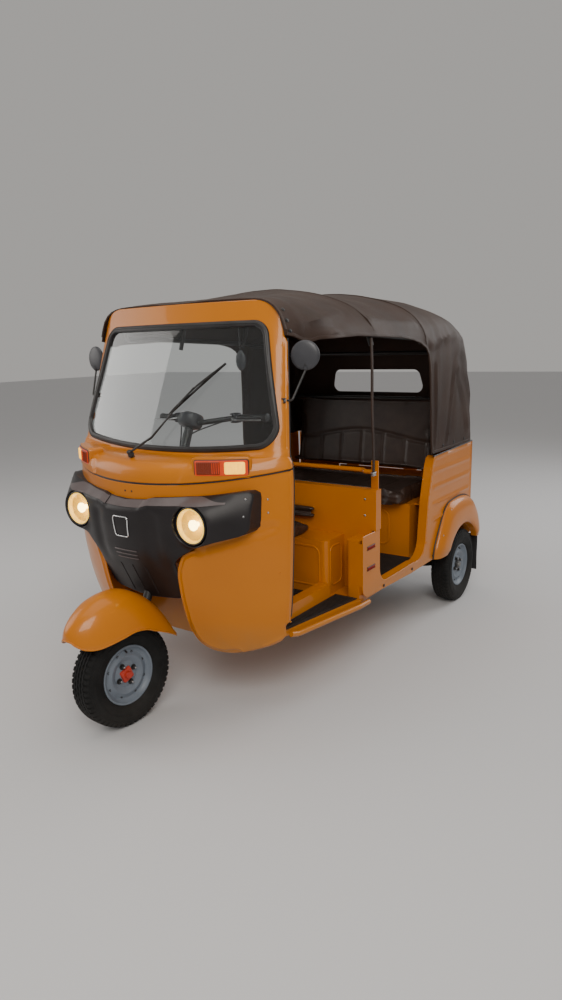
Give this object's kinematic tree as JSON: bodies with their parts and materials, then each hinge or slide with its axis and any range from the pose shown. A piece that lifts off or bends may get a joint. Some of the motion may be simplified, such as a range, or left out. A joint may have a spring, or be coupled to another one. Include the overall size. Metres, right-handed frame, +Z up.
{
  "type": "auto rickshaw",
  "caption": "Three-wheeled passenger auto rickshaw with a painted body, black canopy, windscreen, steered front wheel and driven rear wheels.",
  "frame": {"origin": "on the ground under the middle of the vehicle's length and width", "axes": "+Z up, the vehicle faces -Y, its left side is +X"},
  "size_m": [1.2975, 2.534, 1.7119],
  "materials": {
    "paint": "gloss",
    "black_paint": "satin",
    "canopy_cloth": "matte",
    "seat_cover": "satin",
    "fascia_plastic": "matte",
    "glass": "gloss",
    "lamp_glass": "gloss",
    "amber": "gloss",
    "red_lens": "gloss",
    "rubber": "matte",
    "tyre": "matte",
    "rim_paint": "satin",
    "steel": "satin",
    "cast": "matte"
  },
  "bodies": {
    "chassis": {"floor_pan": "paint", "cowl_upper": "paint", "apron": "paint", "fascia": "fascia_plastic", "headlamps": "lamp_glass", "turn_signals": "amber", "windscreen": "glass", "windscreen_seal": "rubber", "wiper": "black_paint", "mirrors": "black_paint", "bulkhead": "paint", "floor_ridges": "paint", "floor_mats": "rubber", "step_rails": "paint", "seat_box": "paint", "driver_seat": "seat_cover", "driver_back": "seat_cover", "partition": "paint", "handrail": "paint", "roof_frame": "black_paint", "bench_base": "paint", "bench_cushion": "seat_cover", "bench_back": "seat_cover", "quarter_left": "paint", "quarter_right": "paint", "rear_panel": "paint", "fenders": "paint", "mudflaps": "rubber", "canopy": "canopy_cloth", "tail_lamps": "red_lens", "bumper": "black_paint", "engine": "cast", "silencer": "steel", "rear_arms": "black_paint", "rear_dampers": "steel"},
    "engine_lid": {"engine_lid": "paint"},
    "rear_left_wheel": {"tyre_rear_left": "tyre", "rim_rear_left": "rim_paint"},
    "rear_right_wheel": {"tyre_rear_right": "tyre", "rim_rear_right": "rim_paint"},
    "steering": {"steering_fork": "black_paint", "front_damper": "steel", "handlebar": "black_paint", "mudguard": "paint"},
    "front_wheel": {"tyre_front": "tyre", "rim_front": "rim_paint"}
  },
  "joints": [
    {"name": "steering", "type": "hinge", "parent": "chassis", "child": "steering", "pos_m": [0, -0.72395, 0.8], "axis": [0, 0.4226, 0.9063], "range_deg": [-33, 43]},
    {"name": "front_spin", "type": "hinge", "parent": "steering", "child": "front_wheel", "pos_m": [-0.00275, -1.03489, 0.20745], "axis": [0.9962, -0.079, 0.0368], "continuous": true},
    {"name": "rear_left_spin", "type": "hinge", "parent": "chassis", "child": "rear_left_wheel", "pos_m": [0.575, 0.965, 0.2075], "axis": [1, 0, 0], "continuous": true},
    {"name": "rear_right_spin", "type": "hinge", "parent": "chassis", "child": "rear_right_wheel", "pos_m": [-0.575, 0.965, 0.2075], "axis": [1, 0, 0], "continuous": true},
    {"name": "engine_lid", "type": "hinge", "parent": "chassis", "child": "engine_lid", "pos_m": [0, 1.186, 0.694], "axis": [1, 0, 0], "range_deg": [0, 75]}
  ]
}
